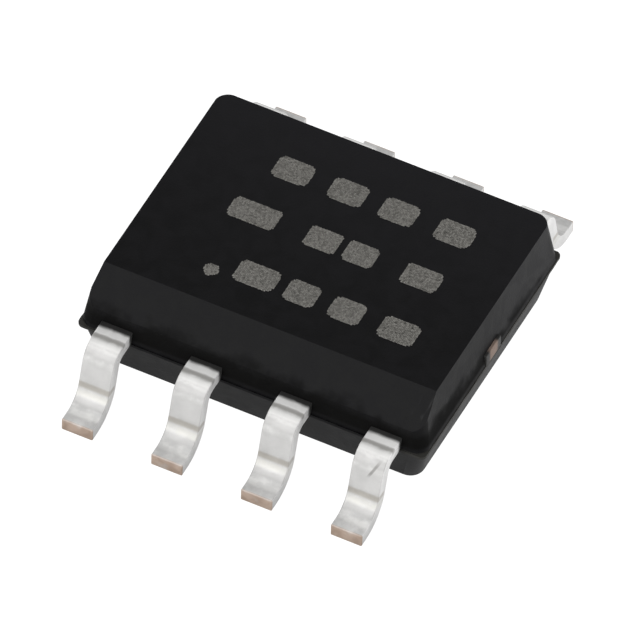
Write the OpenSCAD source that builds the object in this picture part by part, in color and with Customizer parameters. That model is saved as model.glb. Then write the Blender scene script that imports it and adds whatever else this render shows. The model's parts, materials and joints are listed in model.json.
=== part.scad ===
// Power field-effect transistor in a moulded package with eight gull-wing leads.
// X runs along the two rows of leads, Y runs across them and Z points up from the board.
// The origin is on the board under the middle of the package, and lead 1 is at -X, -Y.
// Leads 1 to 4 leave the -Y side from left to right, leads 5 to 8 leave the +Y side.

/* [Moulded body] */
// Length along the rows of leads, over the parting ridge
body_length = 4.93; // [4.8:0.01:5]
// Width across the rows of leads, over the parting ridge
body_width = 3.95; // [3.8:0.01:4]
// Height above the parting plane
body_rise = 0.71; // [0.66:0.01:0.8]
// Depth below the parting plane
body_drop = 0.63; // [0.55:0.01:0.75]
// Gap between the board and the underside
standoff = 0.16; // [0.1:0.01:0.25]
// Lean of the walls above the parting plane, in degrees
draft_above = 8; // [5:0.5:10]
// Lean of the walls below the parting plane, in degrees
draft_below = 13; // [5:0.5:15]
// Radius of the upright corners
corner_radius = 0.2; // [0.08:0.01:0.3]
// Reach of the bevel over the leads of the lower numbers, along the top
bevel_depth = 0.47; // [0.25:0.01:0.5]
// Height of that bevel
bevel_height = 0.36; // [0.2:0.01:0.45]
// How far the ridge at the parting plane stands out of the walls
ridge_proud = 0.015; // [0.01:0.005:0.06]
// Thickness of that ridge
ridge_thick = 0.04; // [0.02:0.005:0.1]
// Radius of the corners of that ridge
ridge_corner = 0.08; // [0.03:0.01:0.15]
// Diameter of the round ejector mark in the underside
ejector_diameter = 0.9; // [0.5:0.05:1.2]
// Depth of that mark
ejector_depth = 0.03; // [0.01:0.005:0.05]

/* [Leads] */
// Distance between the toes of opposite leads
lead_span = 6.05; // [5.9:0.01:6.2]
// Distance between neighbouring leads
lead_pitch = 1.27; // [1.2:0.01:1.27]
// Width of a lead
lead_width = 0.44; // [0.35:0.01:0.5]
// Thickness of the sheet that the leads are stamped from
lead_thick = 0.19; // [0.15:0.01:0.22]
// Flat stretch of a lead between the body and the first bend
shoulder_length = 0.2; // [0.1:0.01:0.26]
// Lean of the riser between the bends, in degrees from upright
riser_lean = 15; // [8:1:24]
// Radius of the bend between shoulder and riser, on its inner side
shoulder_bend = 0.12; // [0.05:0.01:0.2]
// Radius of the bend between riser and foot, on its inner side
foot_bend = 0.33; // [0.2:0.01:0.4]

/* [Stamping inside the body] */
// Length of a lead that the body grips before it widens
grip_length = 0.35; // [0.25:0.01:0.45]
// Width of the bonding lands, across the rows
land_width = 0.36; // [0.3:0.01:0.45]
// Length of the land of lead 4, along the rows
gate_land_length = 0.6; // [0.5:0.01:0.65]
// Slot between the lands and the paddle
slot_width = 0.2; // [0.15:0.01:0.3]
// Length of the paddle that carries the chip, along the rows
paddle_length = 3.6; // [3.2:0.05:4]
// Width of the tie bars that run from the paddle to both ends
tie_bar_width = 0.42; // [0.3:0.01:0.6]

/* [Chip and wires] */
// Length of the chip along the rows
die_length = 2.6; // [2.2:0.05:3]
// Width of the chip across the rows
die_width = 1.7; // [1.2:0.05:2]
// Thickness of the chip
die_thick = 0.2; // [0.15:0.01:0.25]
// Distance from the chip to the slot side of the paddle
die_margin = 0.2; // [0.1:0.01:0.3]
// Thickness of the solder under the chip
solder_thick = 0.03; // [0.02:0.005:0.05]
// Number of wires on the source land
source_wires = 6; // [2:1:8]
// Diameter of a bonding wire
wire_diameter = 0.05; // [0.03:0.005:0.06]
// Diameter of the ball at the chip end of a wire
ball_diameter = 0.12; // [0.08:0.005:0.14]
// Height of that ball
ball_height = 0.03; // [0.02:0.005:0.05]
// Upright stretch of a wire above the chip
wire_rise = 0.08; // [0.06:0.01:0.11]
// Radius of the bend at the top of a wire
wire_bend = 0.1; // [0.08:0.01:0.12]
// Distance from the slot side of the chip to the balls
ball_inset = 0.3; // [0.2:0.01:0.4]

/* [Hidden] */
$fn = 48;

// Four leads stand on each side, and the last one of the first row is the gate
leads_per_side = 4;
gate_place = leads_per_side - 1;

// The underside of the stamping lies in the parting plane of the mould
parting_z = standoff + body_drop;
stamping_z = parting_z;
stamping_top_z = stamping_z + lead_thick;

// Outline of the two moulded halves where they meet the ridge
shell_length = body_length - 2 * ridge_proud;
shell_width = body_width - 2 * ridge_proud;

// A corner arc starts a little inside its walls, so that it crosses them at a small angle
corner_centre = 0.98 * corner_radius;
// Length of a cutter that reaches past every side of the body
past_body = body_length + body_width;

// A lead turns through the same angle at both bends and lands flat on the board
bend_turn = 90 - riser_lean;
middle_radii = shoulder_bend + foot_bend + lead_thick;
riser_length = (stamping_z - middle_radii * (1 - cos(bend_turn))) / sin(bend_turn);
bend_reach = middle_radii * sin(bend_turn) + riser_length * cos(bend_turn);
shoulder_y = body_width / 2 + shoulder_length;
foot_length = lead_span / 2 - shoulder_y - bend_reach;

// Distances of the stamped edges from the middle of the body
grip_y = body_width / 2 - grip_length;
land_y = grip_y - land_width;
paddle_front_y = slot_width - land_y;
source_land_left = lead_x(0) - lead_width / 2;
source_land_right = lead_x(gate_place - 1) + lead_width / 2;

// The chip lies on its solder on the paddle
die_front_y = paddle_front_y + die_margin;
die_z = stamping_top_z + solder_thick;
die_top_z = die_z + die_thick;

// Wires run from the balls on the chip to the middle of the lands
ball_y = die_front_y + ball_inset;
bond_y = -(grip_y + land_y) / 2;
wires_left = max(source_land_left, -die_length / 2) + ball_diameter;
wires_right = min(source_land_right, die_length / 2) - ball_diameter;
gate_ball_x = die_length / 2 - ball_diameter;

function lead_x(place) = (place - (leads_per_side - 1) / 2) * lead_pitch;
function source_wire_x(number) = wires_left + (number - 0.5) * (wires_right - wires_left) / source_wires;

// Upright section of a half of the body, widest at the parting plane
module wall_section(width, height, draft) {
    inset = height * tan(draft);
    polygon([[-width / 2, 0], [width / 2, 0], [width / 2 - inset, height], [inset - width / 2, height]]);
}

// What rounding one corner removes, along the leaning edge where two walls meet
module corner_cut(draft) {
    translate([shell_length / 2, shell_width / 2, 0])
        rotate(a = atan(sqrt(2) * tan(draft)), v = [1, -1, 0])
            translate([-corner_centre, -corner_centre, -past_body / 2])
                linear_extrude(past_body)
                    difference() {
                        square(past_body);
                        circle(r = corner_radius);
                    }
}

// One half of the body, standing on the parting plane
module moulded_half(height, draft) {
    difference() {
        intersection() {
            rotate([90, 0, 0])
                linear_extrude(shell_width, center = true)
                    wall_section(shell_length, height, draft);
            rotate([90, 0, 90])
                linear_extrude(shell_length, center = true)
                    wall_section(shell_width, height, draft);
        }
        for (turn = [0, 180]) {
            rotate([0, 0, turn]) {
                corner_cut(draft);
                mirror([0, 1, 0]) corner_cut(draft);
            }
        }
    }
}

// What the bevel over leads 1 to 4 removes from the upper half
module bevel_cut() {
    foot_z = body_rise - bevel_height;
    translate([0, foot_z * tan(draft_above) - shell_width / 2, foot_z])
        rotate([atan2(bevel_height, bevel_depth), 0, 0])
            translate([-past_body / 2, -past_body / 2, 0])
                cube([past_body, past_body, body_rise]);
}

module ridge() {
    straight_x = body_length / 2 - ridge_corner;
    straight_y = body_width / 2 - ridge_corner;
    translate([0, 0, parting_z - ridge_thick])
        linear_extrude(ridge_thick) {
            square([2 * straight_x, body_width], center = true);
            square([body_length, 2 * straight_y], center = true);
            for (x = [-straight_x, straight_x], y = [-straight_y, straight_y])
                translate([x, y]) circle(r = ridge_corner);
        }
}

module ejector_mark() {
    translate([0, 0, standoff]) cylinder(d = ejector_diameter, h = ejector_depth);
}

module moulded_body() {
    color([0.11, 0.11, 0.12])
        difference() {
            union() {
                translate([0, 0, parting_z])
                    difference() {
                        moulded_half(body_rise, draft_above);
                        bevel_cut();
                    }
                translate([0, 0, parting_z]) mirror([0, 0, 1]) moulded_half(body_drop, draft_below);
                ridge();
            }
            ejector_mark();
            drain_frame();
            source_frame();
            gate_lead();
            die_solder();
            silicon_die();
            gate_wire();
            for (number = [1:source_wires]) source_wire(number);
        }
}

// A strip of the sheet along +Y from the current place, with what follows at its end
module strip(length) {
    translate([-lead_width / 2, 0, 0]) cube([lead_width, length, lead_thick]);
    translate([0, length, 0]) children();
}

// The curved part of a bend, round an axis along X
module bend_arc(turn, radius) {
    rotate_extrude(angle = turn)
        translate([radius, -lead_width / 2]) square([lead_thick, lead_width]);
}

// A bend down towards the board, with what follows at its end
module bend_down(turn, radius) {
    translate([0, 0, -radius]) {
        rotate([0, -90, 0]) bend_arc(turn, radius);
        rotate([-turn, 0, 0]) translate([0, 0, radius]) children();
    }
}

// A bend up from the board, with what follows at its end
module bend_up(turn, radius) {
    outer = radius + lead_thick;
    translate([0, 0, outer]) {
        rotate([0, 90, 0]) bend_arc(turn, radius);
        rotate([turn, 0, 0]) translate([0, 0, -outer]) children();
    }
}

// A gull-wing lead on the +Y side, from inside the body to the toe on the board
module lead() {
    translate([0, grip_y, stamping_z])
        strip(shoulder_y - grip_y)
            bend_down(bend_turn, shoulder_bend)
                strip(riser_length)
                    bend_up(bend_turn, foot_bend)
                        strip(foot_length);
}

// A flat piece of the stamping between two corners
module flat(left, front, right, back) {
    translate([left, front, stamping_z]) cube([right - left, back - front, lead_thick]);
}

module drain_frame() {
    color([0.78, 0.78, 0.76]) {
        flat(-paddle_length / 2, paddle_front_y, paddle_length / 2, grip_y);
        flat(-body_length / 2, -tie_bar_width / 2, body_length / 2, tie_bar_width / 2);
        for (place = [0:leads_per_side - 1]) translate([lead_x(place), 0, 0]) lead();
    }
}

module source_frame() {
    color([0.78, 0.78, 0.76]) {
        flat(source_land_left, -grip_y, source_land_right, -land_y);
        for (place = [0:gate_place - 1]) translate([lead_x(place), 0, 0]) mirror([0, 1, 0]) lead();
    }
}

module gate_lead() {
    middle = lead_x(gate_place);
    color([0.78, 0.78, 0.76]) {
        flat(middle - gate_land_length / 2, -grip_y, middle + gate_land_length / 2, -land_y);
        translate([middle, 0, 0]) mirror([0, 1, 0]) lead();
    }
}

// A slab of the chip's outline on the paddle
module die_slab(bottom_z, thick) {
    translate([-die_length / 2, die_front_y, bottom_z]) cube([die_length, die_width, thick]);
}

module die_solder() {
    color([0.62, 0.62, 0.63]) die_slab(stamping_top_z, solder_thick);
}

module silicon_die() {
    color([0.33, 0.35, 0.4]) die_slab(die_z, die_thick);
}

// A bonding wire that rises from its ball on the chip, bends over and slopes down to a land
module bond_wire(ball, bond) {
    run = norm(bond - ball);
    drop = die_top_z + wire_rise - stamping_top_z;
    steepness = asin(wire_bend / norm([run - wire_bend, drop])) + atan2(drop, run - wire_bend);
    slope = round(1000 * steepness) / 1000;
    slope_length = (run - wire_bend * (1 + sin(slope)) + wire_diameter) / cos(slope);
    translate([ball.x, ball.y, 0])
        rotate([0, 0, atan2(bond.y - ball.y, bond.x - ball.x)])
            difference() {
                translate([0, 0, die_top_z]) {
                    cylinder(d = ball_diameter, h = ball_height);
                    cylinder(d = wire_diameter, h = wire_rise);
                    translate([wire_bend, 0, wire_rise]) {
                        rotate([90, 0, 180])
                            rotate_extrude(angle = 90 + slope)
                                translate([wire_bend, 0]) circle(d = wire_diameter);
                        rotate([0, slope, 0])
                            translate([0, 0, wire_bend])
                                rotate([0, 90, 0]) cylinder(d = wire_diameter, h = slope_length);
                    }
                }
                translate([run / 2, -wire_diameter, stamping_z])
                    cube([run, 2 * wire_diameter, lead_thick]);
            }
}

module gate_wire() {
    color([0.88, 0.74, 0.36]) bond_wire([gate_ball_x, ball_y], [lead_x(gate_place), bond_y]);
}

module source_wire(number) {
    place = source_wire_x(number);
    color([0.88, 0.74, 0.36]) bond_wire([place, ball_y], [place, bond_y]);
}

moulded_body();
drain_frame();
source_frame();
gate_lead();
silicon_die();
die_solder();
gate_wire();
for (number = [1:source_wires]) {
    source_wire(number);
}
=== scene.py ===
# %% [markdown]
# # A power transistor in an eight-lead moulded package
# The part is a chip in a block of black epoxy, with eight tinned copper leads bent down to the board.
# Its solids come from a CAD model, so the shapes and sizes are already right. This lesson adds what CAD
# leaves out: softened edges, moulding flash, the grain of the compound, the tin on the leads and the
# laser marking. Sizes and places are written in millimetres.

# %% Load the solids
import json
import math

import bmesh
import bpy
from mathutils import Matrix, Vector, noise


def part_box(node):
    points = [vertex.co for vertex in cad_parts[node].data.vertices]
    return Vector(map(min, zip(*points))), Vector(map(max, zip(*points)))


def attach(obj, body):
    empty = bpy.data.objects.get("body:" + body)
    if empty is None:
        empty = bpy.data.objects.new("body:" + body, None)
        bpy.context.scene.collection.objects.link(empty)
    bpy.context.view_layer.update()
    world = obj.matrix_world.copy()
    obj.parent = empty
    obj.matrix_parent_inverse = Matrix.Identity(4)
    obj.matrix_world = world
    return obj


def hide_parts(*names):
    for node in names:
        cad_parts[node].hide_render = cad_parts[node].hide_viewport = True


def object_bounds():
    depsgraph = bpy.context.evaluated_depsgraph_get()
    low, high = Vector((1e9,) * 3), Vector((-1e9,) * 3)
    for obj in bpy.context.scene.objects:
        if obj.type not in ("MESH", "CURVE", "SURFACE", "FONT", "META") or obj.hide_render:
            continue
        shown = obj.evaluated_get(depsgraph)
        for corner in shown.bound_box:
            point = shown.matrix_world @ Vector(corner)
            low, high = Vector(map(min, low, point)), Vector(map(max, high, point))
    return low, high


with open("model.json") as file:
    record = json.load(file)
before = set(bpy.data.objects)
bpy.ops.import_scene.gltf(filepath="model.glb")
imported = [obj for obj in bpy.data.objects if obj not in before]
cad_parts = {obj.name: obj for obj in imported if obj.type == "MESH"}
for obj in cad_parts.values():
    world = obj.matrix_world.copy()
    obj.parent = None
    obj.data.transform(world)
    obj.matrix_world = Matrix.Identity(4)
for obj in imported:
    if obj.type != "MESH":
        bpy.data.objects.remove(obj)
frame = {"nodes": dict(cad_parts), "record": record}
cad_box = [list(corner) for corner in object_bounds()]
scene = bpy.context.scene
MM = 0.001
LEAD_THICK = 0.19

body_low, body_high = (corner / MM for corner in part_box("moulded_body"))
shoulder_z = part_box("source_frame")[1].z / MM
parting_z = shoulder_z - LEAD_THICK
lead_reach = cad_box[1][1] / MM - body_high.y
print("solids", len(frame["nodes"]), "body", [round(size, 3) for size in body_high - body_low], "mm")

# %% [markdown]
# ## The camera
# The photograph looks down on the front right corner of a part only 6 mm long. Its edges run almost
# parallel, so the lens is long and stands 300 mm away. The angles were found by laying the model's
# edges over the photograph's, and the picture's scale in pixels per millimetre sets the focal length.

# %% Place the camera
PICTURE_PX = 640
SENSOR = 36.0
AZIMUTH = math.radians(25.119)
ELEVATION = math.radians(48.319)
ROLL = math.radians(2.005)
PX_PER_MM = 78.816
CAMERA_DISTANCE = 300.0
CLIP_NEAR = 50.0
CLIP_FAR = 2000.0
AIM = Vector((0.0, 0.0, 0.8))
AIM_SHIFT_PX = (0.258, -32.312)

flat = math.cos(ELEVATION)
back = Vector((math.sin(AZIMUTH) * flat, -math.cos(AZIMUTH) * flat, math.sin(ELEVATION)))
level_right = Vector((math.cos(AZIMUTH), math.sin(AZIMUTH), 0.0))
level_up = back.cross(level_right)
right = level_right * math.cos(ROLL) + level_up * math.sin(ROLL)
up = level_up * math.cos(ROLL) - level_right * math.sin(ROLL)
aim = AIM + (right * AIM_SHIFT_PX[0] + up * AIM_SHIFT_PX[1]) / PX_PER_MM

camera = bpy.data.objects.new("camera", bpy.data.cameras.new("camera"))
camera.data.sensor_width = SENSOR
camera.data.lens = PX_PER_MM * CAMERA_DISTANCE * SENSOR / PICTURE_PX
camera.data.clip_start = CLIP_NEAR * MM
camera.data.clip_end = CLIP_FAR * MM
placing = Matrix((right, up, back)).transposed().to_4x4()
placing.translation = (aim + back * CAMERA_DISTANCE) * MM
camera.matrix_world = placing
scene.collection.objects.link(camera)
scene.camera = camera
print("lens", round(camera.data.lens), "mm")

# %% [markdown]
# ## Tools for node trees
# Shaders and Geometry Nodes are both trees of nodes. A small helper adds one node and fills its
# sockets: a plain value is set on the socket, and another node's output is linked to it. The other
# helpers give short names to what is needed most: a sum, a soft step, a mix of masks or colours, and
# the place on the piece.

# %% Helpers for values and masks


def add(tree, kind, inputs=None, **settings):
    """Add one node, set its settings, and fill its inputs with values or with other nodes' outputs."""
    made = tree.nodes.new(kind)
    for name, value in settings.items():
        setattr(made, name, value)
    for name, value in (inputs or {}).items():
        if isinstance(value, bpy.types.NodeSocket):
            tree.links.new(value, made.inputs[name])
        else:
            made.inputs[name].default_value = value
    return made


def maths(tree, operation, *values):
    """The result of one sum on values or sockets."""
    return add(tree, "ShaderNodeMath", dict(enumerate(values)), operation=operation).outputs[0]


def fade(tree, value, start, end, low=0.0, high=1.0):
    """Low up to start, high from end on, and a smooth step between them."""
    inputs = {"Value": value, "From Min": start, "From Max": end, "To Min": low, "To Max": high}
    return add(tree, "ShaderNodeMapRange", inputs, interpolation_type="SMOOTHSTEP").outputs["Result"]


def fall(tree, value, start, end):
    """One up to start, nothing from end on, and a smooth step between them."""
    return fade(tree, value, start, end, 1.0, 0.0)


def overlap(tree, *masks):
    """The share where all the masks hold."""
    share = masks[0]
    for mask in masks[1:]:
        share = maths(tree, "MULTIPLY", share, mask)
    return share


def either(tree, first, second):
    """The larger of two masks."""
    return maths(tree, "MAXIMUM", first, second)


print("helpers for values ready")

# %% Helpers for places and colours


def places(tree):
    """Object coordinates in millimetres."""
    coordinates = add(tree, "ShaderNodeTexCoord").outputs["Object"]
    inputs = {0: coordinates, "Scale": 1 / MM}
    return add(tree, "ShaderNodeVectorMath", inputs, operation="SCALE").outputs[0]


def axes(tree):
    """Object coordinates in millimetres, one by one."""
    return add(tree, "ShaderNodeSeparateXYZ", {0: places(tree)}).outputs


def clouds(tree, vector, scale, detail, **more):
    """The value of a noise texture."""
    inputs = {"Vector": vector, "Scale": scale, "Detail": detail, **more}
    return add(tree, "ShaderNodeTexNoise", inputs).outputs["Fac"]


def blend(tree, share, first, second):
    """A colour between two others. The colour sockets of a Mix node are its inputs 6 and 7."""
    return add(tree, "ShaderNodeMix", {0: share, 6: first, 7: second}, data_type="RGBA").outputs[2]


def paint(tree, ground, layers):
    """Lay colours over a ground, one after another, each with its mask and its strength."""
    for mask, strength, color in layers:
        ground = blend(tree, maths(tree, "MULTIPLY", mask, strength), ground, (*color, 1.0))
    return ground


def bump(tree, height, strength, depth):
    """A normal that follows a height."""
    inputs = {"Height": height, "Strength": strength, "Distance": depth * MM}
    return add(tree, "ShaderNodeBump", inputs).outputs["Normal"]


print("helpers for colours ready")

# %% Helpers for groups and materials


def new_group(name, kind, inputs, outputs):
    """An empty node group with named sockets, with the sockets of its input and output nodes."""
    group = bpy.data.node_groups.new(name, kind)
    for title, socket in inputs:
        group.interface.new_socket(title, in_out="INPUT", socket_type=socket)
    for title, socket in outputs:
        group.interface.new_socket(title, in_out="OUTPUT", socket_type=socket)
    return group, group.nodes.new("NodeGroupInput").outputs, group.nodes.new("NodeGroupOutput").inputs


def use(tree, group, **inputs):
    """Place a shared group in a material."""
    named = {name.replace("_", " "): value for name, value in inputs.items()}
    return add(tree, "ShaderNodeGroup", named, node_tree=group).outputs


def start_material(name, **values):
    """A new material with its plain values set on the shader's own sockets."""
    material = bpy.data.materials.new(name)
    material.use_nodes = True
    made = material.node_tree.nodes["Principled BSDF"]
    for title, value in values.items():
        made.inputs[title.replace("_", " ")].default_value = value
    return material, material.node_tree, made.inputs


def connect(tree, sockets, **outputs):
    """Link finished colours, values and normals to the shader."""
    for title, output in outputs.items():
        tree.links.new(output, sockets[title.replace("_", " ")])


print("helpers for materials ready")

# %% [markdown]
# ## The studio
# Small parts are photographed in a white room. It is bright at the front and near the horizon, and
# dimmer high up behind the part, which keeps the top of the body dark. Walls could be built for this,
# but a world shader is simpler, because the light depends only on the direction. One large soft lamp at
# the front left makes the bevel lighter than the top.

# %% Make the white room
ROOM_FRONT = 1.0
ROOM_BACK = 0.46
BRIGHT_SIDE = (0.6, -0.8, 0.0)
WALL_REACH = (0.15, 0.60)

scene.view_settings.view_transform = "Standard"
scene.world = bpy.data.worlds.new("white_room")
scene.world.use_nodes = True
room = scene.world.node_tree
wall = room.nodes["Background"]
wall.inputs["Color"].default_value = (1.0, 1.0, 1.0, 1.0)
outlook = add(room, "ShaderNodeTexCoord").outputs["Generated"]
facing = add(room, "ShaderNodeVectorMath", {0: outlook, 1: BRIGHT_SIDE}, operation="DOT_PRODUCT")
upwards = add(room, "ShaderNodeSeparateXYZ", {0: outlook}).outputs["Z"]
from_above = fade(room, facing.outputs["Value"], -1.0, 1.0, ROOM_BACK, ROOM_FRONT)
from_walls = fade(room, upwards, *WALL_REACH, ROOM_FRONT, 0.0)
room.links.new(either(room, from_above, from_walls), wall.inputs["Strength"])
print("room", scene.world.name)

# %% Hang the lamp
LAMP_PLACE = Vector((-50.0, -110.0, 118.0))
LAMP_SIZE = 120.0
LAMP_RADIANCE = 1.6

lamp = bpy.data.lights.new("front_left_lamp", "AREA")
lamp.shape = "SQUARE"
lamp.size = LAMP_SIZE * MM
lamp.energy = math.pi * lamp.size ** 2 * LAMP_RADIANCE
lamp_stand = bpy.data.objects.new("front_left_lamp", lamp)
lamp_stand.location = LAMP_PLACE * MM
lamp_stand.rotation_euler = LAMP_PLACE.to_track_quat("Z", "Y").to_euler()
lamp_stand.visible_camera = False
scene.collection.objects.link(lamp_stand)
print("lamp", round(LAMP_PLACE.length), "mm away")

# %% [markdown]
# ## The table
# The ground of the picture is pure white, but the part mirrors the table as it was: dim in the part's
# own shade, brighter further out, and with more light from the front leads backwards. A Light Path node
# tells how a ray came to the table. The camera sees an even white, and every other ray meets the uneven
# glow. So no shadow is left in the picture, but the walls and the leads still have theirs.

# %% Coat the table
SHADE_GLOW = 0.18
OPEN_GLOW = 0.95
SHADE_REACH = (3.2, 8.0)
UNDER_GLOW = 0.42
UNDER_REACH = (-3.0, -2.1)

acrylic, tree, sockets = start_material(
    "white_acrylic", Base_Color=(0.15, 0.15, 0.15, 1.0), Roughness=0.8, Specular_IOR_Level=0.1,
    Emission_Color=(1.0, 1.0, 1.0, 1.0))
distance = add(tree, "ShaderNodeVectorMath", {0: places(tree)}, operation="LENGTH").outputs["Value"]
beyond = fade(tree, distance, *SHADE_REACH, SHADE_GLOW, OPEN_GLOW)
under = fade(tree, axes(tree)["Y"], *UNDER_REACH, 0.0, UNDER_GLOW)
mirrored = maths(tree, "ADD", beyond, under)
seen = add(tree, "ShaderNodeLightPath").outputs["Is Camera Ray"]
connect(tree, sockets, Emission_Strength=either(tree, mirrored, seen))
print("made", acrylic.name)

# %% Lay the table
TABLE_SIZE = 400.0
TABLE_GAP = 0.002

half = TABLE_SIZE / 2 * MM
low = -TABLE_GAP * MM
table_corners = [(-half, -half, low), (half, -half, low), (half, half, low), (-half, half, low)]
table_mesh = bpy.data.meshes.new("white_table")
table_mesh.from_pydata(table_corners, [], [(0, 1, 2, 3)])
table_mesh.materials.append(acrylic)
table = bpy.data.objects.new("white_table", table_mesh)
scene.collection.objects.link(table)
print("table", TABLE_SIZE, "mm wide")

# %% [markdown]
# ## Effects that several finishes share
# Grain is the fine unevenness that the compound, the tin and the pieces inside all have, at different
# sizes. A band is a straight mark at one distance, such as the painted lines of light and shade across
# each lead. Each could be built again in every material, but as a group with named inputs it is
# built once, and a finish only sets its values.

# %% Grain
FLOAT = "NodeSocketFloat"
NOISE_SPAN = (0.3, 0.7)
COARSE_SCALE = 0.12

grain, given, result = new_group(
    "grain", "ShaderNodeTree", [("Size", FLOAT)], [("Height", FLOAT), ("Tone", FLOAT)])
fine_scale = maths(grain, "DIVIDE", 1.0, given["Size"])
coarse_scale = maths(grain, "DIVIDE", COARSE_SCALE, given["Size"])
fine = clouds(grain, places(grain), fine_scale, detail=3.0, Roughness=0.6)
coarse = clouds(grain, places(grain), coarse_scale, detail=2.0, Distortion=0.6)
grain.links.new(fine, result["Height"])
grain.links.new(fade(grain, coarse, *NOISE_SPAN), result["Tone"])
print("group", grain.name)

# %% Bands
BAND_CORE = 0.3

band, given, result = new_group(
    "band", "ShaderNodeTree",
    [("Position", FLOAT), ("Middle", FLOAT), ("Half Width", FLOAT)], [("Mask", FLOAT)])
away = maths(band, "ABSOLUTE", maths(band, "SUBTRACT", given["Position"], given["Middle"]))
share_away = maths(band, "DIVIDE", away, given["Half Width"])
band.links.new(fall(band, share_away, BAND_CORE, 1.0), result["Mask"])


def stripe(tree, position, middle, half_width):
    """A band across a piece."""
    return use(tree, band, Position=position, Middle=middle, Half_Width=half_width)["Mask"]


print("group", band.name)

# %% [markdown]
# ## The mould compound
# The body is epoxy filled with fine silica and soot. It is nearly black, and what can be seen of it is
# mostly gloss: faint from above and much stronger at a flat angle, where it mirrors the white table. So
# the base colour is very dark, the reflection from above is set low, and the grain of the mould only
# spreads it. Painted light and the traces of making and handling are masks: a dull band of painted
# shade above the parting line, painted highlights streaked on the front right corner, rubbed edges with
# painted glints, dust on the flash at both ends and a film of dust that grows towards the back.

# %% Mark the band of painted shade above the parting line
SHADED_BAND_HEIGHT = 0.29
SHADED_BAND_SLOPE = 0.08
SHADED_BAND_SOFT = 0.22
SHADED_BAND_RAGGED = 0.06
SHADED_BAND_START = (0.03, 0.10)

compound, tree, sockets = start_material("mould_compound", Specular_IOR_Level=0.155)
place = axes(tree)
above_parting = maths(tree, "SUBTRACT", place["Z"], parting_z)
ragged = clouds(tree, places(tree), scale=3.5, detail=5.0)
uneven = fade(tree, ragged, *NOISE_SPAN, -SHADED_BAND_RAGGED, SHADED_BAND_RAGGED)
shaded_band_rise = maths(tree, "SUBTRACT", uneven, maths(tree, "MULTIPLY", place["Y"], SHADED_BAND_SLOPE))
above_shaded_band = maths(tree, "SUBTRACT", maths(tree, "SUBTRACT", above_parting, SHADED_BAND_HEIGHT), shaded_band_rise)
# A dull band whose colour is painted shade: the wall is darker just above the parting line, where shade
# falls.
shaded_band = overlap(tree, fall(tree, above_shaded_band, -SHADED_BAND_SOFT, 0.0), fade(tree, above_parting, *SHADED_BAND_START))
print("shaded_band", SHADED_BAND_HEIGHT, "mm high")

# %% Mark the painted highlights on the corner, the dust and the rubbed edges with painted glints
CORNER_GLINT_X = (2.1, 2.3)
CORNER_GLINT_Y = (-1.6, -1.4)
CORNER_GLINT_SHARE = (0.60, 0.70)
STREAK_SCALE = (14.0, 2.5, 2.5)
FLASH_BAND = (-0.02, 0.05)
DUST_X = (1.9, 2.3)
FILM_Y = (-1.5, 3.9)
RUB_GLINT_SHARE = (0.4, 0.65)
RUB_GLINT_AMOUNT = 0.8

stretched = add(tree, "ShaderNodeMapping", {"Vector": places(tree), "Scale": STREAK_SCALE})
streaks = clouds(tree, stretched.outputs["Vector"], scale=1.0, detail=2.0)
# Painted highlights: light streaks on the front right corner above the parting line, where its rounding
# catches the light.
corner_glints = overlap(
    tree, fade(tree, place["X"], *CORNER_GLINT_X), fade(tree, streaks, *CORNER_GLINT_SHARE),
    fall(tree, place["Y"], *CORNER_GLINT_Y), maths(tree, "GREATER_THAN", above_parting, 0.0))
on_flash = stripe(tree, above_parting, *FLASH_BAND)
dust = overlap(tree, on_flash, fade(tree, maths(tree, "ABSOLUTE", place["X"]), *DUST_X))
film = fade(tree, place["Y"], *FILM_Y)
# Rubbed edges: the lighter tone is wear, and it also paints the glints along the edges.
edge_mark = add(tree, "ShaderNodeAttribute", attribute_name="edge").outputs["Fac"]
touched = clouds(tree, places(tree), scale=5.0, detail=4.0)
rubbed_and_glinting = overlap(tree, edge_mark, fade(tree, touched, *RUB_GLINT_SHARE), RUB_GLINT_AMOUNT)
print("scuffs from x", CORNER_GLINT_X[0], "mm, dust from x", DUST_X[0], "mm")

# %% Mix the mould compound
MOULD_GRAIN = 0.03
MOULD_ROUGH = (0.41, 0.47)
SHADED_BAND_ROUGH = 0.45

mould_grain = use(tree, grain, Size=MOULD_GRAIN)
black = blend(tree, mould_grain["Tone"], (0.0003, 0.0003, 0.0007, 1.0), (0.0022, 0.0021, 0.0029, 1.0))
black = paint(tree, black, (
    (film, 1.0, (0.0075, 0.0073, 0.0090)),
    # rubbed edges, with painted glints
    (rubbed_and_glinting, 1.0, (0.018, 0.018, 0.019)),
    # painted highlights streaked on the front right corner
    (corner_glints, 1.0, (0.018, 0.018, 0.019)),
    (dust, 1.0, (0.035, 0.034, 0.031)),
    # painted shade in the dull band above the parting line
    (shaded_band, 1.0, (0.0008, 0.0007, 0.0006)),
))
even_gloss = fade(tree, mould_grain["Tone"], 0.0, 1.0, *MOULD_ROUGH)
connect(
    tree, sockets,
    Base_Color=black,
    Roughness=maths(tree, "ADD", even_gloss, maths(tree, "MULTIPLY", shaded_band, SHADED_BAND_ROUGH)),
    Normal=bump(tree, mould_grain["Height"], strength=0.6, depth=0.004))
print("made", compound.name)

# %% [markdown]
# ## The tinned leads
# The leads are copper sheet with a dull coat of tin. Their roots are dark with resin flash and painted
# shade next to the body. Much of their light and shade is painted: a painted dark reflection where each
# lead turns down, painted shade in the crease at the foot of its riser, painted highlights and shade on
# the bends, shoulders, risers and sides painted lighter, and a painted cream tint in the bright band of
# the lower bend. The leads are cut from their strip after plating, so the toes and the ends of the tie
# bars are bare copper. All this is paint on one coat: each mark is a mask at a distance out from the body
# or at a height above the board, and a little wobble keeps its rim from being straight.

# %% Measure along the leads
TIN_GRAIN = 0.02
BLOTCH_GRAIN = 0.006
WOBBLE = 0.014
OUTER_REACH = 0.445
TOP_DEPTH = (0.08, 0.02)

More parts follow.
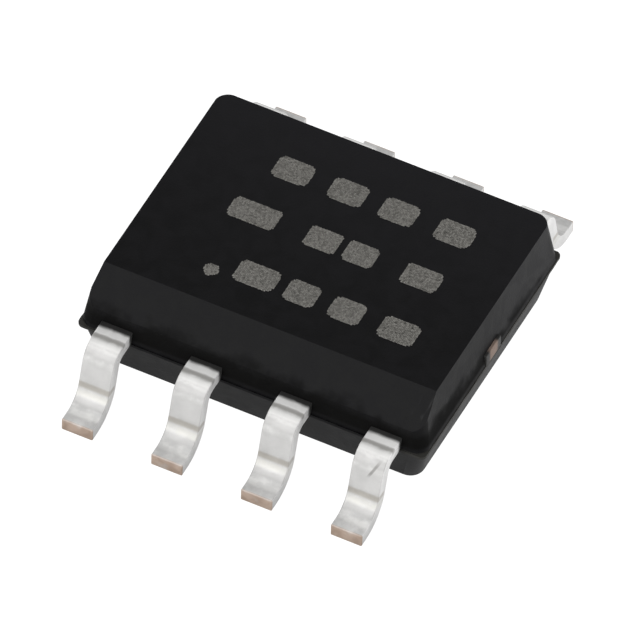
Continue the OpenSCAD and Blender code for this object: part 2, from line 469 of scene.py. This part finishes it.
tin, tree, sockets = start_material("tinned_copper")
place = axes(tree)
reach = maths(tree, "SUBTRACT", maths(tree, "ABSOLUTE", place["Y"]), body_high.y)
plating = use(tree, grain, Size=TIN_GRAIN)
blotches = use(tree, grain, Size=BLOTCH_GRAIN)["Tone"]
patches = clouds(tree, places(tree), scale=5.0, detail=3.0)
wobble = maths(tree, "MULTIPLY", maths(tree, "SUBTRACT", plating["Tone"], 0.5), WOBBLE)
rough_reach = maths(tree, "ADD", reach, wobble)
rough_height = maths(tree, "ADD", place["Z"], wobble)
outer_side = maths(tree, "GREATER_THAN", reach, OUTER_REACH)
on_top = fade(tree, place["Z"], shoulder_z - TOP_DEPTH[0], shoulder_z - TOP_DEPTH[1])
print("leads reach", round(lead_reach, 3), "mm out from the body")

# %% Mark the painted light and shade on the bends, the shoulders and the risers
# A line or a bend is given by its middle and half its width, and a start or an end by where it fades.
UPPER_LINE = (0.201, 0.055)
LOWER_LINE_Z = (0.425, 0.06)
HIGHLIGHT_ON_BEND = (0.300, 0.055)
HIGHLIGHT_ON_FOOT = (0.860, 0.075)
SHADE_ON_BEND = (0.420, 0.065)
SHADE_ON_FOOT = (0.715, 0.075)
CREAM_BAND_Z = (0.325, 0.055)
CREAM_SHARE = (0.35, 0.6, 0.35, 1.0)
SHOULDER_END = (0.165, 0.205)
RISER_START_Z = (0.46, 0.52)
RISER_END_Z = (0.72, 0.80)
SMEAR_START = (0.705, 0.765)
SMEAR_SHARE = (0.42, 0.58)

# Painted dark reflection: a dark line across the top where each lead turns down.
upper_line = overlap(tree, stripe(tree, rough_reach, *UPPER_LINE), on_top)
# Painted shade: a dark line in the crease at the foot of each riser.
lower_line = overlap(tree, stripe(tree, place["Z"], *LOWER_LINE_Z), outer_side)
# Painted highlights: lighter bands on the upper bend and on the foot.
lead_highlights = either(tree, stripe(tree, reach, *HIGHLIGHT_ON_BEND), stripe(tree, rough_reach, *HIGHLIGHT_ON_FOOT))
# Painted shade: darker bands that tone down the highlights on the bend and the heel.
lead_shades = either(tree, stripe(tree, rough_reach, *SHADE_ON_BEND), stripe(tree, rough_reach, *SHADE_ON_FOOT))
# Painted highlight: a cream tint, in patches, in the bright band of the lower bend.
cream_highlight = overlap(
    tree, stripe(tree, rough_height, *CREAM_BAND_Z), outer_side, fade(tree, patches, *CREAM_SHARE))
# Painted light: the top of each shoulder is painted lighter.
shoulder = overlap(tree, on_top, fall(tree, reach, *SHOULDER_END))
# Painted light: the outer face of each riser is painted a little lighter.
riser = overlap(
    tree, outer_side, fade(tree, place["Z"], *RISER_START_Z), fall(tree, place["Z"], *RISER_END_Z))
smeared = overlap(tree, fade(tree, reach, *SMEAR_START), fade(tree, patches, *SMEAR_SHARE))
print("tool lines", UPPER_LINE[0], "mm out and", LOWER_LINE_Z[0], "mm high")

# %% Mark the sides painted lighter and the scratch on lead 4
LIT_SIDE_TURN = (0.7, 0.95)
SCRATCH_X = 1.985
SCRATCH_Z = 0.805
SCRATCH_LEAN = 0.51
SCRATCH_HALF_LENGTH = 0.14
SCRATCH_HALF_WIDTH = 0.03
FRONT_RISER_Y = -2.3

# Painted light: the sides that face left and right are painted lighter, as if they caught more light from
# the table.
facing = add(tree, "ShaderNodeNewGeometry").outputs["Normal"]
sideways = add(tree, "ShaderNodeSeparateXYZ", {0: facing}).outputs["X"]
lit_sides = fade(tree, maths(tree, "ABSOLUTE", sideways), *LIT_SIDE_TURN)
lean = maths(tree, "MULTIPLY", maths(tree, "SUBTRACT", place["Z"], SCRATCH_Z), SCRATCH_LEAN)
off_scratch = maths(tree, "SUBTRACT", maths(tree, "SUBTRACT", place["X"], SCRATCH_X), lean)
scratch = overlap(
    tree, stripe(tree, off_scratch, 0.0, SCRATCH_HALF_WIDTH),
    stripe(tree, rough_height, SCRATCH_Z, SCRATCH_HALF_LENGTH),
    maths(tree, "LESS_THAN", place["Y"], FRONT_RISER_Y))
print("scratch", 2 * SCRATCH_HALF_LENGTH, "mm long")

# %% Mark the dark roots and the bare copper
ROOT_END = (0.012, 0.082)
CUT_DEPTH = 0.022
CUT_SOFT = 0.03
CUT_SHARE = (0.25, 0.45, 0.6, 1.0)
TIE_DEPTH = 0.056
TIE_BARE = (0.07, 0.14)

# The roots are painted dark: resin flash, and painted shade where the leads meet the body.
root = fall(tree, rough_reach, *ROOT_END)
toe_cut = maths(tree, "GREATER_THAN", reach, lead_reach - CUT_DEPTH)
below_rim = fall(tree, rough_height, LEAD_THICK - CUT_SOFT, LEAD_THICK + CUT_SOFT)
bare_toe = overlap(tree, toe_cut, below_rim, fade(tree, patches, *CUT_SHARE))
tie_end = maths(tree, "GREATER_THAN", maths(tree, "ABSOLUTE", place["X"]), body_high.x - TIE_DEPTH)
off_tie = maths(tree, "ABSOLUTE", maths(tree, "ADD", place["Y"], wobble))
bare_tie = overlap(tree, tie_end, fall(tree, off_tie, *TIE_BARE))
print("copper", CUT_DEPTH, "mm deep at the toes")

# %% Plate the leads
TIN_ROUGH = (0.48, 0.58)
BARE_ROUGH = 0.15
TIN_METAL = 0.75
BARE_METAL = 0.35

coat = blend(tree, plating["Tone"], (0.70, 0.695, 0.685, 1.0), (0.80, 0.795, 0.785, 1.0))
coat = paint(tree, coat, (
    (blotches, 0.30, (0.62, 0.615, 0.60)),
    # painted light on the shoulder tops
    (shoulder, 0.95, (1.0, 0.995, 0.985)),
    # painted light on the risers
    (riser, 0.6, (0.80, 0.795, 0.785)),
    # painted highlights on the bend and the foot
    (lead_highlights, 0.7, (0.94, 0.935, 0.92)),
    # painted shade on the bend and the heel
    (lead_shades, 0.6, (0.45, 0.445, 0.44)),
    (smeared, 0.25, (0.48, 0.48, 0.48)),
    # painted light on the sides
    (lit_sides, 0.8, (0.95, 0.945, 0.94)),
    # painted cream tint of the highlight in the lower bend
    (cream_highlight, 0.5, (0.80, 0.79, 0.73)),
    # painted shade in the crease at the foot of the riser
    (lower_line, 0.5, (0.40, 0.36, 0.29)),
    # painted dark reflection where the lead turns down
    (upper_line, 0.58, (0.26, 0.25, 0.23)),
    (scratch, 0.6, (0.20, 0.19, 0.18)),
    # dark roots with resin flash and painted shade, and dark resin over the tie bar ends
    (either(tree, root, tie_end), 0.95, (0.004, 0.0038, 0.0035)),
    (bare_tie, 1.0, (0.27, 0.20, 0.165)),
))
copper = blend(tree, plating["Tone"], (0.50, 0.375, 0.295, 1.0), (0.64, 0.505, 0.415, 1.0))
bare = either(tree, bare_toe, bare_tie)
rough_coat = fade(tree, plating["Tone"], 0.0, 1.0, *TIN_ROUGH)
connect(
    tree, sockets,
    Base_Color=blend(tree, bare_toe, coat, copper),
    Roughness=maths(tree, "ADD", rough_coat, maths(tree, "MULTIPLY", bare, BARE_ROUGH)),
    Metallic=fade(tree, either(tree, lit_sides, bare), 0.0, 1.0, TIN_METAL, BARE_METAL),
    Normal=bump(tree, plating["Height"], strength=0.5, depth=0.003))
print("made", tin.name)

# %% [markdown]
# ## The pieces inside
# The body hides the chip, its solder and the bonding wires. They keep their CAD meshes, and each gets
# the finish of the real thing: a polished chip, dull solder, drawn gold. All three are one recipe with
# different values: tones between which the grain varies, its size, the roughness and the metal.

# %% Finish the pieces inside
INNER_FINISHES = {
    "silicon": ((0.10, 0.11, 0.14, 1.0), (0.16, 0.17, 0.21, 1.0), 0.05, (0.15, 0.25), 0.0),
    "solder": ((0.46, 0.46, 0.47, 1.0), (0.60, 0.60, 0.61, 1.0), 0.03, (0.35, 0.55), 1.0),
    "gold_wire": ((0.80, 0.58, 0.22, 1.0), (0.88, 0.68, 0.30, 1.0), 0.02, (0.18, 0.30), 1.0),
}


def inner_finish(name, dark_tone, light_tone, size, rough, metal):
    """A finish whose tone and gloss follow the grain."""
    material, tree, sockets = start_material(name, Metallic=metal)
    skin = use(tree, grain, Size=size)
    connect(
        tree, sockets,
        Base_Color=blend(tree, skin["Tone"], dark_tone, light_tone),
        Roughness=fade(tree, skin["Height"], *NOISE_SPAN, *rough))
    return material


inner_materials = {slot: inner_finish(slot, *values) for slot, values in INNER_FINISHES.items()}
for row in frame["record"]["subparts"]:
    if row["material_slot"] in inner_materials:
        mesh = frame["nodes"][row["node"]].data
        mesh.materials.clear()
        mesh.materials.append(inner_materials[row["material_slot"]])
print("finishes inside", list(inner_materials))

# %% [markdown]
# ## Softened copies of the solids
# No moulded or stamped edge is perfectly sharp, and the thin light that runs along an edge is what
# makes a small part look real. A CAD mesh is loose triangles, so a copy is merged first and its flat
# faces are joined. Then the chosen edges are rounded, and the new narrow faces are marked so that a
# finish can find them. A Bevel modifier could round edges too, but this way a function chooses them by
# where they lie.

# %% Tools to soften a solid
MERGE_DISTANCE = 1e-4
FLAT_ANGLE = math.radians(0.5)
SMOOTH_ANGLE = math.radians(40.0)


def merged_copy(solid):
    """A solid's mesh as one closed skin, with each flat face in one piece."""
    skin = bmesh.new()
    skin.from_mesh(frame["nodes"][solid].data)
    bmesh.ops.remove_doubles(skin, verts=skin.verts[:], dist=MERGE_DISTANCE * MM)
    bmesh.ops.dissolve_limit(skin, angle_limit=FLAT_ANGLE, verts=skin.verts[:], edges=skin.edges[:])
    return skin


def soften(skin, edges, radius, segments):
    """Round the edges and mark the new faces."""
    mark = skin.loops.layers.float.get("edge") or skin.loops.layers.float.new("edge")
    rounded = bmesh.ops.bevel(
        skin, geom=edges, offset=radius * MM, offset_type="OFFSET", segments=segments, profile=0.5,
        affect="EDGES", clamp_overlap=True)
    for face in rounded["faces"]:
        for corner in face.loops:
            corner[mark] = 1.0
    return len(rounded["faces"])


def piece_from(skin, name, material, solid):
    """Make the skin a smooth piece that stands for a solid."""
    mesh = bpy.data.meshes.new(name)
    skin.to_mesh(mesh)
    skin.free()
    if "custom_normal" in mesh.attributes:
        mesh.attributes.remove(mesh.attributes["custom_normal"])
    mesh.shade_smooth()
    mesh.set_sharp_from_angle(angle=SMOOTH_ANGLE)
    mesh.materials.clear()
    mesh.materials.append(material)
    piece = bpy.data.objects.new(name, mesh)
    scene.collection.objects.link(piece)
    weighted = piece.modifiers.new("weighted_normals", "WEIGHTED_NORMAL")
    weighted.keep_sharp = True
    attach(piece, "root")
    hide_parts(solid)
    return piece


print("tools to soften ready")

# %% [markdown]
# ## The body
# The top, the bevel and the underside of the body have soft edges from the worn mould. At the parting
# plane a thin ridge of flash runs round the body, and its rim is uneven because compound creeps a
# little way out between the halves of the mould. The rim's long edges are cut into short ones, and each
# point is pushed in by a smooth noise, so that the ridge stays one closed skin.

# %% Soften the body
BODY_EDGE = 0.035
BODY_EDGE_STEPS = 3
BODY_EDGE_TURN = math.radians(15.0)
EJECTOR_REACH = 0.7
LEVEL = 0.99
SLOPING = 0.5
NEAR = 1e-3

body = merged_copy("moulded_body")


def is_outer_flat(face):
    """True for the top, the bevel and the underside."""
    height = face.calc_center_median().z / MM
    if abs(face.normal.z) > LEVEL:
        return min(abs(height - body_high.z), abs(height - body_low.z)) < NEAR
    return face.normal.z > SLOPING and face.normal.y < -SLOPING


def is_body_edge(edge):
    """True for an outer edge of the body, and not for the rim of the ejector mark."""
    if len(edge.link_faces) != 2 or edge.calc_face_angle(0.0) < BODY_EDGE_TURN:
        return False
    if all(vert.co.xy.length / MM < EJECTOR_REACH for vert in edge.verts):
        return False
    return any(is_outer_flat(face) for face in edge.link_faces)


body_edges = [edge for edge in body.edges if is_body_edge(edge)]
print("body edges softened", soften(body, body_edges, BODY_EDGE, BODY_EDGE_STEPS))

# %% Cut the rim of the flash into short edges
RIDGE_THICK = 0.04
RIDGE_CORNER = 0.08
FLASH_STEP = 0.06


def on_rim(vert):
    """True for a point on the outer rim of the ridge of flash."""
    x = abs(vert.co.x) / MM
    y = abs(vert.co.y) / MM
    z = vert.co.z / MM
    outside = x > body_high.x - NEAR or y > body_high.y - NEAR
    corner = min(x - body_high.x, y - body_high.y) > -RIDGE_CORNER - NEAR
    return (outside or corner) and parting_z - RIDGE_THICK - NEAR < z < parting_z + NEAR


long_edges = {}
for edge in body.edges:
    length = edge.calc_length() / MM
    if length > 2 * FLASH_STEP and all(on_rim(vert) for vert in edge.verts):
        long_edges.setdefault(int(length / FLASH_STEP), []).append(edge)
for cuts, edges in long_edges.items():
    bmesh.ops.subdivide_edges(body, edges=edges, cuts=cuts, use_only_quads=True)
rim = [vert for vert in body.verts if on_rim(vert)]
print("flash points", len(rim))

# %% Roughen the flash
FLASH_DEPTH = 0.010
FLASH_WAVES = 4.0
FLASH_NICKS = 15.0
RIM_DEPTH = 0.05

for vert in rim:
    point = vert.co / MM
    push = (noise.noise(point * FLASH_WAVES) + 0.5 * noise.noise(point * FLASH_NICKS)) * 0.5 + 0.5
    for axis in (0, 1):
        if abs(vert.co[axis]) / MM > body_high[axis] - RIM_DEPTH:
            vert.co[axis] -= math.copysign(push * FLASH_DEPTH * MM, vert.co[axis])
package = piece_from(body, "package_body", compound, "moulded_body")
print("body faces", len(package.data.polygons))

# %% [markdown]
# ## The leads
# Each stamping keeps the form of its solid, bends and all, so nothing has to be modelled again. Only
# its edges are rounded, as tin plating leaves them.

# %% Soften the leads
LEAD_EDGE = 0.016
LEAD_EDGE_STEPS = 3
LEAD_EDGE_TURN = math.radians(30.0)
STAMPINGS = {"source_frame": "source_leads", "gate_lead": "gate_leg", "drain_frame": "drain_leads"}

for solid, name in STAMPINGS.items():
    stamping = merged_copy(solid)
    sharp = [edge for edge in stamping.edges if edge.calc_face_angle(0.0) > LEAD_EDGE_TURN]
    count = soften(stamping, sharp, LEAD_EDGE, LEAD_EDGE_STEPS)
    piece_from(stamping, name, tin, solid)
    print(name, "softened faces", count)

# %% [markdown]
# ## The laser marking
# A laser marks the top by melting rows of tiny spots, which turn grey and swell a little. Here the
# marking is rows of plain blocks and the round dot beside lead 1. Geometry Nodes are right for it: a
# grid of points covers the top, a ray from each point keeps it only over a block, and every point that
# is left gets one flat spot.

# %% Draw the outlines of the marking
BLOCK_HEIGHT = 0.36
BLOCK_CORNER = 0.08
MARK_ROWS = (
    (1.05, ((-0.92, 0.50), (-0.14, 0.48), (0.58, 0.48), (1.37, 0.50))),
    (0.18, ((-1.03, 0.66), (-0.06, 0.46), (0.47, 0.42), (1.33, 0.50))),
    (-0.76, ((-0.53, 0.56), (0.11, 0.44), (0.75, 0.44), (1.48, 0.50))),
)
DOT_X = -1.09
DOT_Y = -0.93
DOT_RADIUS = 0.1
ARC_STEPS = 6
CORNER_SIDES = ((1, 1), (-1, 1), (-1, -1), (1, -1))


def rounded_block(middle_x, middle_y, length, height, radius):
    """Points round a block with rounded corners."""
    points = []
    for turn, (side_x, side_y) in enumerate(CORNER_SIDES):
        centre_x = middle_x + side_x * (length / 2 - radius)
        centre_y = middle_y + side_y * (height / 2 - radius)
        for step in range(ARC_STEPS + 1):
            angle = math.pi / 2 * (turn + step / ARC_STEPS)
            points.append((centre_x + radius * math.cos(angle), centre_y + radius * math.sin(angle)))
    return points


outlines = [rounded_block(DOT_X, DOT_Y, 2 * DOT_RADIUS, 2 * DOT_RADIUS, DOT_RADIUS)]
for row_y, blocks in MARK_ROWS:
    for middle_x, length in blocks:
        outlines.append(rounded_block(middle_x, row_y, length, BLOCK_HEIGHT, BLOCK_CORNER))
corners = []
faces = []
for outline in outlines:
    faces.append(list(range(len(corners), len(corners) + len(outline))))
    corners.extend(Vector((x, y, body_high.z)) * MM for x, y in outline)
marking_mesh = bpy.data.meshes.new("laser_marking")
marking_mesh.from_pydata(corners, [], faces)
print("blocks", len(outlines))

# %% Mix the melted spots
MELTED_GRAIN = 0.012
MELTED_ROUGH = (0.7, 0.9)

melted, tree, sockets = start_material("melted_compound", Specular_IOR_Level=0.2)
spot_grain = use(tree, grain, Size=MELTED_GRAIN)
spot_tone = add(tree, "ShaderNodeAttribute", attribute_name="spot_tone").outputs["Fac"]
connect(
    tree, sockets,
    Base_Color=blend(tree, spot_tone, (0.13, 0.126, 0.115, 1.0), (0.25, 0.243, 0.225, 1.0)),
    Roughness=fade(tree, spot_grain["Height"], *NOISE_SPAN, *MELTED_ROUGH),
    Normal=bump(tree, spot_grain["Height"], strength=0.5, depth=0.003))
print("made", melted.name)

# %% Keep a grid of points over the outlines
RAY_LIFT = 0.1
RAY_LENGTH = 1.0

spots, given, result = new_group("laser_spots", "GeometryNodeTree", [
    ("Geometry", "NodeSocketGeometry"), ("Field", "NodeSocketVector"), ("Columns", "NodeSocketInt"),
    ("Rows", "NodeSocketInt"), ("Height", FLOAT), ("Spot Radius", FLOAT), ("Spot Swell", FLOAT),
    ("Jitter", FLOAT), ("Seed", "NodeSocketInt"), ("Material", "NodeSocketMaterial"),
], [("Geometry", "NodeSocketGeometry")])


def spot_node(kind, inputs=None, **settings):
    """Add one geometry node to the tree of spots."""
    return add(spots, "GeometryNode" + kind, inputs, **settings)


field = add(spots, "ShaderNodeSeparateXYZ", {0: given["Field"]}).outputs
field_grid = spot_node("MeshGrid", {
    "Size X": field["X"], "Size Y": field["Y"],
    "Vertices X": given["Columns"], "Vertices Y": given["Rows"]})
lift = maths(spots, "ADD", given["Height"], RAY_LIFT * MM)
above = add(spots, "ShaderNodeCombineXYZ", {"Z": lift}).outputs[0]
lifted = spot_node("Transform", {"Geometry": field_grid.outputs["Mesh"], "Translation": above})
ray = spot_node("Raycast", {
    "Target Geometry": given["Geometry"],
    "Ray Direction": (0.0, 0.0, -1.0), "Ray Length": RAY_LENGTH * MM})
missed = add(spots, "FunctionNodeBooleanMath", {0: ray.outputs["Is Hit"]}, operation="NOT").outputs[0]
lifted_points = lifted.outputs["Geometry"]
kept = spot_node("DeleteGeometry", {"Geometry": lifted_points, "Selection": missed}, domain="POINT")
print("points tree", len(spots.nodes), "nodes")

# %% Put a spot on every point
SPOT_SIDES = 7
SPOT_SIZES = (0.8, 1.15)


def random_value(low, high, seed_step):
    """A random value for each point, with a seed of its own."""
    seed = maths(spots, "ADD", given["Seed"], seed_step)
    inputs = {2: low, 3: high, "Seed": seed}
    return add(spots, "FunctionNodeRandomValue", inputs, data_type="FLOAT").outputs[1]


def vector_maths(operation, inputs):
    """The result of one sum on vectors."""
    return add(spots, "ShaderNodeVectorMath", inputs, operation=operation).outputs[0]


shake = add(spots, "FunctionNodeRandomValue", {
    0: (-1.0, -1.0, 0.0), 1: (1.0, 1.0, 0.0), "Seed": given["Seed"]}, data_type="FLOAT_VECTOR").outputs[0]
shift = vector_maths("SCALE", {0: shake, "Scale": given["Jitter"]})
drop = vector_maths("ADD", {0: shift, 1: (0.0, 0.0, -RAY_LIFT * MM)})
settled = spot_node("SetPosition", {"Geometry": kept.outputs["Geometry"], "Offset": drop})
toned = spot_node("StoreNamedAttribute", {
    "Geometry": settled.outputs["Geometry"], "Name": "spot_tone", "Value": random_value(0.0, 1.0, 1.0)},
    data_type="FLOAT", domain="POINT")
spot = spot_node("MeshCylinder", {
    "Vertices": SPOT_SIDES, "Radius": given["Spot Radius"], "Depth": given["Spot Swell"]})
size = random_value(*SPOT_SIZES, 2.0)
placed = spot_node("InstanceOnPoints", {
    "Points": toned.outputs["Geometry"], "Instance": spot.outputs["Mesh"],
    "Scale": add(spots, "ShaderNodeCombineXYZ", {"X": size, "Y": size, "Z": 1.0}).outputs[0]})
whole = spot_node("RealizeInstances", {"Geometry": placed.outputs["Instances"]})
finished = spot_node("SetMaterial", {"Geometry": whole.outputs["Geometry"], "Material": given["Material"]})
spots.links.new(finished.outputs["Geometry"], result["Geometry"])
print("spot tree", len(spots.nodes), "nodes")

# %% Make the marking a plain mesh
SPOT_PITCH_X = 0.020
SPOT_PITCH_Y = 0.022
SPOT_RADIUS = 0.0135
SPOT_SWELL = 0.006
SPOT_JITTER = 0.003
SPOT_SEED = 7

marking = bpy.data.objects.new("laser_marking", marking_mesh)
scene.collection.objects.link(marking)
filler = marking.modifiers.new("laser_spots", "NODES")
filler.node_group = spots
field_x = 2 * body_high.x
field_y = 2 * body_high.y
values = {
    "Field": (field_x * MM, field_y * MM, 0.0),
    "Columns": round(field_x / SPOT_PITCH_X),
    "Rows": round(field_y / SPOT_PITCH_Y),
    "Height": body_high.z * MM,
    "Spot Radius": SPOT_RADIUS * MM,
    "Spot Swell": SPOT_SWELL * MM,
    "Jitter": SPOT_JITTER * MM,
    "Seed": SPOT_SEED,
    "Material": melted,
}
for socket in spots.interface.items_tree:
    if socket.in_out == "INPUT" and socket.name in values:
        filler[socket.identifier] = values[socket.name]
graph = bpy.context.evaluated_depsgraph_get()
spot_mesh = bpy.data.meshes.new_from_object(marking.evaluated_get(graph))
spot_mesh.materials.clear()
spot_mesh.materials.append(melted)
spot_mesh.polygons.foreach_set("material_index", [0] * len(spot_mesh.polygons))
marking.modifiers.clear()
marking.data = spot_mesh
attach(marking, "root")
print("marking faces", len(spot_mesh.polygons))
